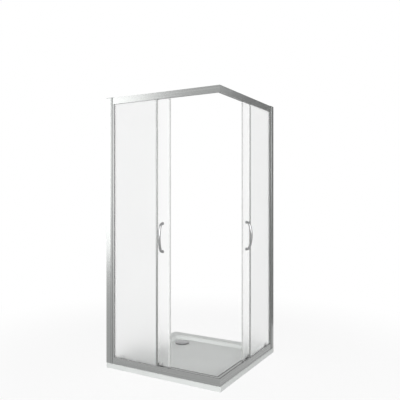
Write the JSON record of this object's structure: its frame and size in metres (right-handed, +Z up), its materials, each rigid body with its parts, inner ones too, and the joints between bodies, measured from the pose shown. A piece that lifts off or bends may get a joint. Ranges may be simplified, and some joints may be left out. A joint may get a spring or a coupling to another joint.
{
  "type": "shower enclosure with sliding door",
  "caption": "Square corner-entry shower enclosure: frosted fixed panes and sliding doors in bright metal rails, bow handles, white tray with chrome waste.",
  "frame": {"origin": "centre of the tray's underside, on the floor", "axes": "+Z up; the left screen faces -Y, the right screen faces +X, and they meet at the entry corner (+X, -Y); the room walls would stand at -X and +Y"},
  "size_m": [0.9205, 0.9205, 1.883],
  "materials": {
    "white_acrylic": "gloss",
    "grey_rubber": "matte",
    "chrome": "mirror polish",
    "bright_aluminium": "bright anodised",
    "grey_plastic": "satin",
    "steel": "bright",
    "cast_alloy": "as cast",
    "clear_seal": "translucent",
    "frosted_glass": "satin frosted",
    "magnet_strip": "matte",
    "roller_plastic": "satin",
    "nylon": "matte"
  },
  "bodies": {
    "root": {"shower_tray": "white_acrylic", "waste_seal": "grey_rubber", "track_stops": "grey_rubber", "waste_flange": "chrome", "left_wall_channel": "bright_aluminium", "right_wall_channel": "bright_aluminium", "left_wall_jamb": "bright_aluminium", "right_wall_jamb": "bright_aluminium", "left_top_rail": "bright_aluminium", "right_top_rail": "bright_aluminium", "left_bottom_rail": "bright_aluminium", "right_bottom_rail": "bright_aluminium", "edge_profiles": "bright_aluminium", "channel_caps": "grey_plastic", "jamb_screw_caps": "grey_plastic", "jamb_screws": "steel", "frame_screws": "steel", "corner_brackets": "cast_alloy", "slot_infills": "clear_seal", "left_fixed_gaskets": "clear_seal", "right_fixed_gaskets": "clear_seal", "fin_seals": "clear_seal", "left_fixed_glass": "frosted_glass", "right_fixed_glass": "frosted_glass"},
    "left_door": {"left_door_glass": "frosted_glass", "left_door_magnet_seal": "clear_seal", "left_door_magnet": "magnet_strip", "left_door_trailing_seal": "clear_seal", "left_door_handle": "chrome", "left_door_screws": "steel", "left_glass_bushes": "clear_seal", "left_top_axles": "chrome", "left_bottom_plates": "chrome", "left_bottom_housings": "roller_plastic", "left_release_springs": "steel"},
    "left_top_wheel_lead": {"left_top_wheel_lead": "nylon"},
    "left_release_carrier_lead": {"left_release_carrier_lead": "nylon"},
    "left_guide_wheel_lead": {"left_guide_wheel_lead": "nylon"},
    "left_top_wheel_trail": {"left_top_wheel_trail": "nylon"},
    "left_release_carrier_trail": {"left_release_carrier_trail": "nylon"},
    "left_guide_wheel_trail": {"left_guide_wheel_trail": "nylon"},
    "right_door": {"right_door_glass": "frosted_glass", "right_door_magnet_seal": "clear_seal", "right_door_magnet": "magnet_strip", "right_door_trailing_seal": "clear_seal", "right_door_handle": "chrome", "right_door_screws": "steel", "right_glass_bushes": "clear_seal", "right_top_axles": "chrome", "right_bottom_plates": "chrome", "right_bottom_housings": "roller_plastic", "right_release_springs": "steel"},
    "right_top_wheel_lead": {"right_top_wheel_lead": "nylon"},
    "right_release_carrier_lead": {"right_release_carrier_lead": "nylon"},
    "right_guide_wheel_lead": {"right_guide_wheel_lead": "nylon"},
    "right_top_wheel_trail": {"right_top_wheel_trail": "nylon"},
    "right_release_carrier_trail": {"right_release_carrier_trail": "nylon"},
    "right_guide_wheel_trail": {"right_guide_wheel_trail": "nylon"},
    "waste_cover": {"waste_cover": "chrome"}
  },
  "joints": [
    {"name": "left_door_slide", "type": "slide", "parent": "root", "child": "left_door", "axis": [1, 0, 0], "range_m": [0, 0.3468]},
    {"name": "right_door_slide", "type": "slide", "parent": "root", "child": "right_door", "axis": [0, -1, 0], "range_m": [0, 0.3468]},
    {"name": "left_top_wheel_lead_roll", "type": "hinge", "parent": "left_door", "child": "left_top_wheel_lead", "pos_m": [-0.0113, -0.4125, 1.8553], "axis": [0, 1, 0], "continuous": true},
    {"name": "left_release_lead", "type": "slide", "parent": "left_door", "child": "left_release_carrier_lead", "axis": [0, 0, 1], "range_m": [0, 0.006], "stiffness_N_per_m": 500, "springref_m": -0.004, "deforming": ["left_release_springs"]},
    {"name": "left_guide_wheel_lead_roll", "type": "hinge", "parent": "left_release_carrier_lead", "child": "left_guide_wheel_lead", "pos_m": [-0.0113, -0.4125, 0.0783], "axis": [0, 1, 0], "continuous": true},
    {"name": "left_top_wheel_trail_roll", "type": "hinge", "parent": "left_door", "child": "left_top_wheel_trail", "pos_m": [-0.322, -0.4125, 1.8553], "axis": [0, 1, 0], "continuous": true},
    {"name": "left_release_trail", "type": "slide", "parent": "left_door", "child": "left_release_carrier_trail", "axis": [0, 0, 1], "range_m": [0, 0.006], "stiffness_N_per_m": 500, "springref_m": -0.004, "deforming": ["left_release_springs"]},
    {"name": "left_guide_wheel_trail_roll", "type": "hinge", "parent": "left_release_carrier_trail", "child": "left_guide_wheel_trail", "pos_m": [-0.322, -0.4125, 0.0783], "axis": [0, 1, 0], "continuous": true},
    {"name": "right_top_wheel_lead_roll", "type": "hinge", "parent": "right_door", "child": "right_top_wheel_lead", "pos_m": [0.4125, 0.0113, 1.8553], "axis": [1, 0, 0], "continuous": true},
    {"name": "right_release_lead", "type": "slide", "parent": "right_door", "child": "right_release_carrier_lead", "axis": [0, 0, 1], "range_m": [0, 0.006], "stiffness_N_per_m": 500, "springref_m": -0.004, "deforming": ["right_release_springs"]},
    {"name": "right_guide_wheel_lead_roll", "type": "hinge", "parent": "right_release_carrier_lead", "child": "right_guide_wheel_lead", "pos_m": [0.4125, 0.0113, 0.0783], "axis": [1, 0, 0], "continuous": true},
    {"name": "right_top_wheel_trail_roll", "type": "hinge", "parent": "right_door", "child": "right_top_wheel_trail", "pos_m": [0.4125, 0.322, 1.8553], "axis": [1, 0, 0], "continuous": true},
    {"name": "right_release_trail", "type": "slide", "parent": "right_door", "child": "right_release_carrier_trail", "axis": [0, 0, 1], "range_m": [0, 0.006], "stiffness_N_per_m": 500, "springref_m": -0.004, "deforming": ["right_release_springs"]},
    {"name": "right_guide_wheel_trail_roll", "type": "hinge", "parent": "right_release_carrier_trail", "child": "right_guide_wheel_trail", "pos_m": [0.4125, 0.322, 0.0783], "axis": [1, 0, 0], "continuous": true},
    {"name": "waste_cover_lift", "type": "slide", "parent": "root", "child": "waste_cover", "axis": [0, 0, 1], "range_m": [0, 0.05]}
  ],
  "couplings": [
    {"joint": "left_top_wheel_lead_roll", "follows": "left_door_slide", "rad_per_m": 100},
    {"joint": "left_guide_wheel_lead_roll", "follows": "left_door_slide", "rad_per_m": 200},
    {"joint": "left_top_wheel_trail_roll", "follows": "left_door_slide", "rad_per_m": 100},
    {"joint": "left_guide_wheel_trail_roll", "follows": "left_door_slide", "rad_per_m": 200},
    {"joint": "right_top_wheel_lead_roll", "follows": "right_door_slide", "rad_per_m": 100},
    {"joint": "right_guide_wheel_lead_roll", "follows": "right_door_slide", "rad_per_m": 200},
    {"joint": "right_top_wheel_trail_roll", "follows": "right_door_slide", "rad_per_m": 100},
    {"joint": "right_guide_wheel_trail_roll", "follows": "right_door_slide", "rad_per_m": 200}
  ]
}
